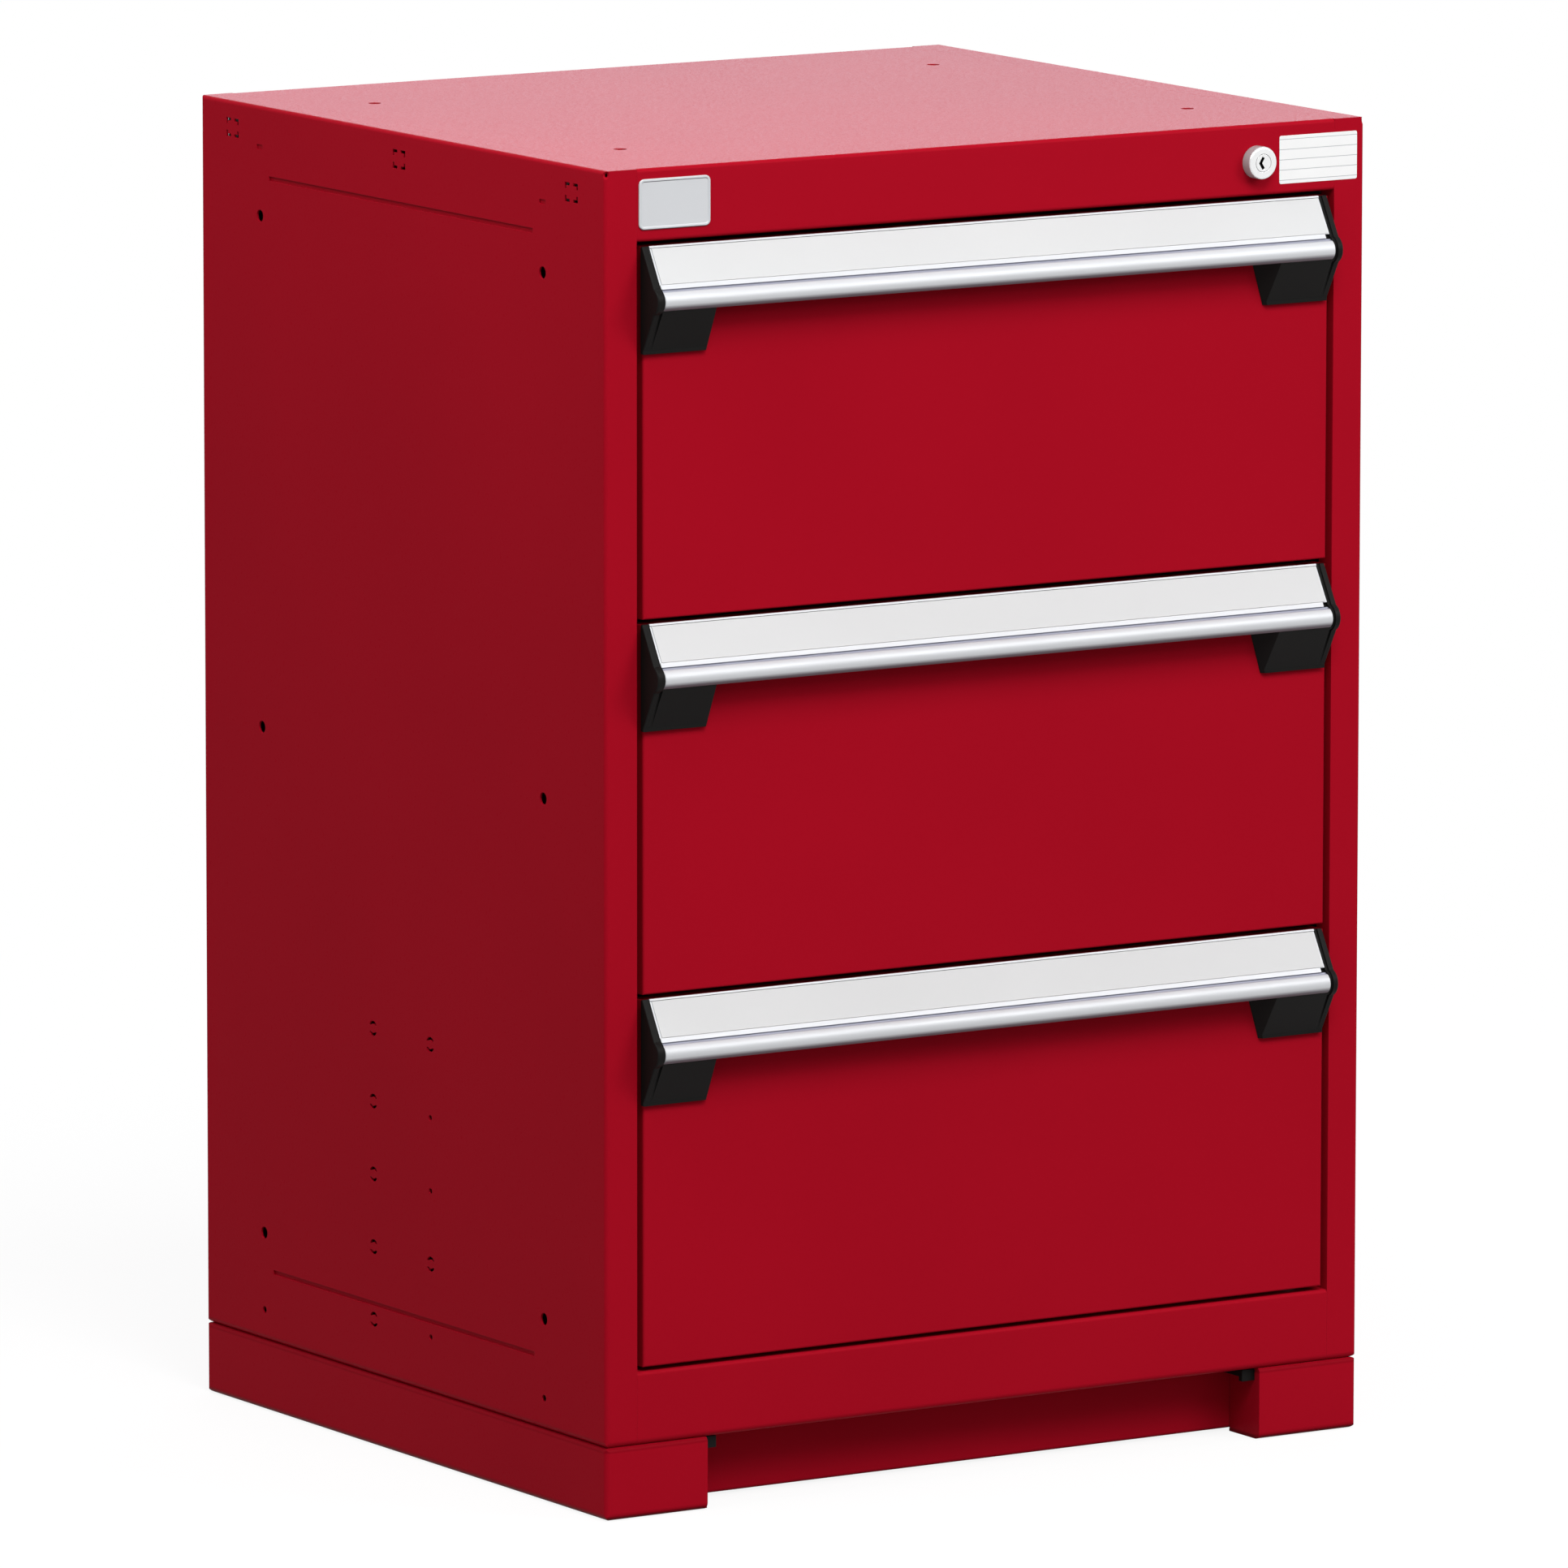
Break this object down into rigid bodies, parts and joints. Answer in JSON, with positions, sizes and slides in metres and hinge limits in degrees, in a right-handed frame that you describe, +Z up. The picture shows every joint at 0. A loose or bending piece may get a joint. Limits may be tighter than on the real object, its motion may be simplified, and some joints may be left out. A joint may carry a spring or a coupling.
{
  "type": "drawer cabinet",
  "caption": "Free-standing steel drawer cabinet with flush drawers on telescopic slides, full-width label handles, a keyed central lock and a recessed base.",
  "frame": {"origin": "on the floor, in the middle of the whole box, handles included", "axes": "+X to the right across the front, +Y from the front to the back, +Z up"},
  "size_m": [0.61, 0.5554, 0.914],
  "materials": {
    "red_paint": "semi-gloss red powder coat",
    "aluminium": "satin anodised extrusion",
    "black_plastic": "moulded, fine texture",
    "label_card": "blank label card",
    "zinc_steel": "zinc plated",
    "chrome": "bright plated",
    "nylon": "natural nylon",
    "rubber": "moulded rubber"
  },
  "bodies": {
    "cabinet": {"side_panel_left": "red_paint", "side_panel_right": "red_paint", "top_panel": "red_paint", "bottom_panel": "red_paint", "back_panel": "red_paint", "base_side_left": "red_paint", "base_side_right": "red_paint", "kick_panel_front": "red_paint", "kick_panel_rear": "red_paint", "base_cross_members": "red_paint", "upright_front_left": "zinc_steel", "upright_front_right": "zinc_steel", "upright_rear_left": "zinc_steel", "upright_rear_right": "zinc_steel", "base_bolts": "zinc_steel", "lock_nut": "zinc_steel", "lock_bar_guides": "zinc_steel", "kick_panel_clips": "black_plastic", "lock_housing": "chrome", "drawer_bumpers": "rubber", "drawer_1_cabinet_rails": "zinc_steel", "drawer_2_cabinet_rails": "zinc_steel", "drawer_3_cabinet_rails": "zinc_steel"},
    "lock_core": {"lock_cam": "zinc_steel", "lock_cam_screw": "zinc_steel", "lock_plug": "chrome"},
    "lock_bar": {"lock_bar": "zinc_steel"},
    "drawer_1": {"drawer_1_front": "red_paint", "drawer_1_box": "red_paint", "drawer_1_handle": "aluminium", "drawer_1_label": "label_card", "drawer_1_cap_left": "black_plastic", "drawer_1_cap_right": "black_plastic", "drawer_1_handle_screws": "zinc_steel", "drawer_1_lock_catch": "zinc_steel", "drawer_1_rails": "zinc_steel"},
    "drawer_1_mid": {"drawer_1_mid_rails": "zinc_steel", "drawer_1_glides": "nylon"},
    "drawer_2": {"drawer_2_front": "red_paint", "drawer_2_box": "red_paint", "drawer_2_handle": "aluminium", "drawer_2_label": "label_card", "drawer_2_cap_left": "black_plastic", "drawer_2_cap_right": "black_plastic", "drawer_2_handle_screws": "zinc_steel", "drawer_2_lock_catch": "zinc_steel", "drawer_2_rails": "zinc_steel"},
    "drawer_2_mid": {"drawer_2_mid_rails": "zinc_steel", "drawer_2_glides": "nylon"},
    "drawer_3": {"drawer_3_front": "red_paint", "drawer_3_box": "red_paint", "drawer_3_handle": "aluminium", "drawer_3_label": "label_card", "drawer_3_cap_left": "black_plastic", "drawer_3_cap_right": "black_plastic", "drawer_3_handle_screws": "zinc_steel", "drawer_3_lock_catch": "zinc_steel", "drawer_3_rails": "zinc_steel"},
    "drawer_3_mid": {"drawer_3_mid_rails": "zinc_steel", "drawer_3_glides": "nylon"}
  },
  "joints": [
    {"name": "drawer_1_slide", "type": "slide", "parent": "cabinet", "child": "drawer_1", "axis": [0, -1, 0], "range_m": [0, 0.44]},
    {"name": "drawer_1_mid_slide", "type": "slide", "parent": "cabinet", "child": "drawer_1_mid", "axis": [0, -1, 0], "range_m": [0, 0.22]},
    {"name": "drawer_2_slide", "type": "slide", "parent": "cabinet", "child": "drawer_2", "axis": [0, -1, 0], "range_m": [0, 0.44]},
    {"name": "drawer_2_mid_slide", "type": "slide", "parent": "cabinet", "child": "drawer_2_mid", "axis": [0, -1, 0], "range_m": [0, 0.22]},
    {"name": "drawer_3_slide", "type": "slide", "parent": "cabinet", "child": "drawer_3", "axis": [0, -1, 0], "range_m": [0, 0.44]},
    {"name": "drawer_3_mid_slide", "type": "slide", "parent": "cabinet", "child": "drawer_3_mid", "axis": [0, -1, 0], "range_m": [0, 0.22]},
    {"name": "lock_turn", "type": "hinge", "parent": "cabinet", "child": "lock_core", "pos_m": [0.216, -0.25525, 0.8883], "axis": [0, 1, 0], "range_deg": [0, 90]},
    {"name": "lock_bar_slide", "type": "slide", "parent": "cabinet", "child": "lock_bar", "axis": [0, 0, 1], "range_m": [-0.017, 0]}
  ],
  "couplings": [
    {"joint": "drawer_1_mid_slide", "follows": "drawer_1_slide", "ratio": 0.5},
    {"joint": "drawer_2_mid_slide", "follows": "drawer_2_slide", "ratio": 0.5},
    {"joint": "drawer_3_mid_slide", "follows": "drawer_3_slide", "ratio": 0.5},
    {"joint": "lock_turn", "follows": "lock_bar_slide", "rad_per_m": -92.39}
  ]
}
